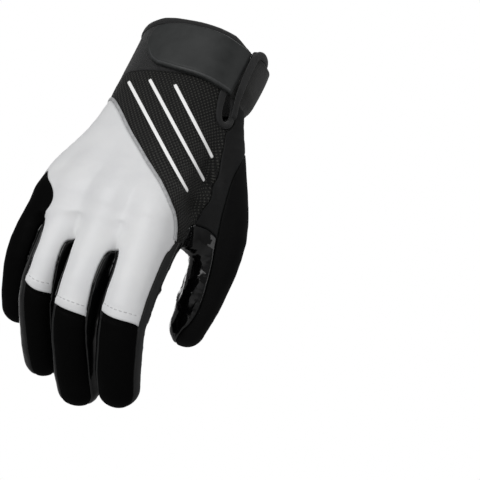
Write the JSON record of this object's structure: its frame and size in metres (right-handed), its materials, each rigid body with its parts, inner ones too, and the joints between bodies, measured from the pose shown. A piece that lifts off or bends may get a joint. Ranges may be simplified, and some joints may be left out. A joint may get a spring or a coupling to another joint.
{
  "type": "curling glove",
  "caption": "Right-hand padded grip glove in its worn shape, with a white back, mesh panel, glossy palm and a closed wrist strap.",
  "frame": {"origin": "centre of the cuff's rim, where the wrist goes in", "axes": "+Z out of the cuff along the wrist, so the fingers point down; the back of the hand faces -Y and the thumb side +X"},
  "size_m": [0.1218, 0.0831, 0.2267],
  "materials": {
    "binding": "woven tape",
    "knit": "fine knit",
    "matte": "matte synthetic leather",
    "patent": "high-gloss patent synthetic leather",
    "piping": "satin",
    "mesh": "embossed mesh",
    "white": "smooth synthetic leather",
    "stripe": "printed raised bar",
    "tab": "satin moulded",
    "elastic": "ribbed elastic",
    "label": "woven"
  },
  "bodies": {
    "root": {"slit_binding": "binding", "cuff_binding": "binding", "cuff": "knit", "thumb_back": "matte", "thumb_side": "matte", "thumb_palm": "patent", "fourchette_1": "patent", "fourchette_2": "patent", "fourchette_3": "patent", "index_side": "matte", "little_panel": "matte", "finger_back_ring": "matte", "finger_back_middle": "matte", "finger_back_index": "matte", "back_piping": "piping", "mesh_panel": "mesh", "back_panel": "white", "palm_panel": "patent", "stripe_1": "stripe", "stripe_2": "stripe", "stripe_3": "stripe", "strap_tab": "tab", "strap_band": "elastic", "wrist_label": "label"}
  },
  "joints": []
}
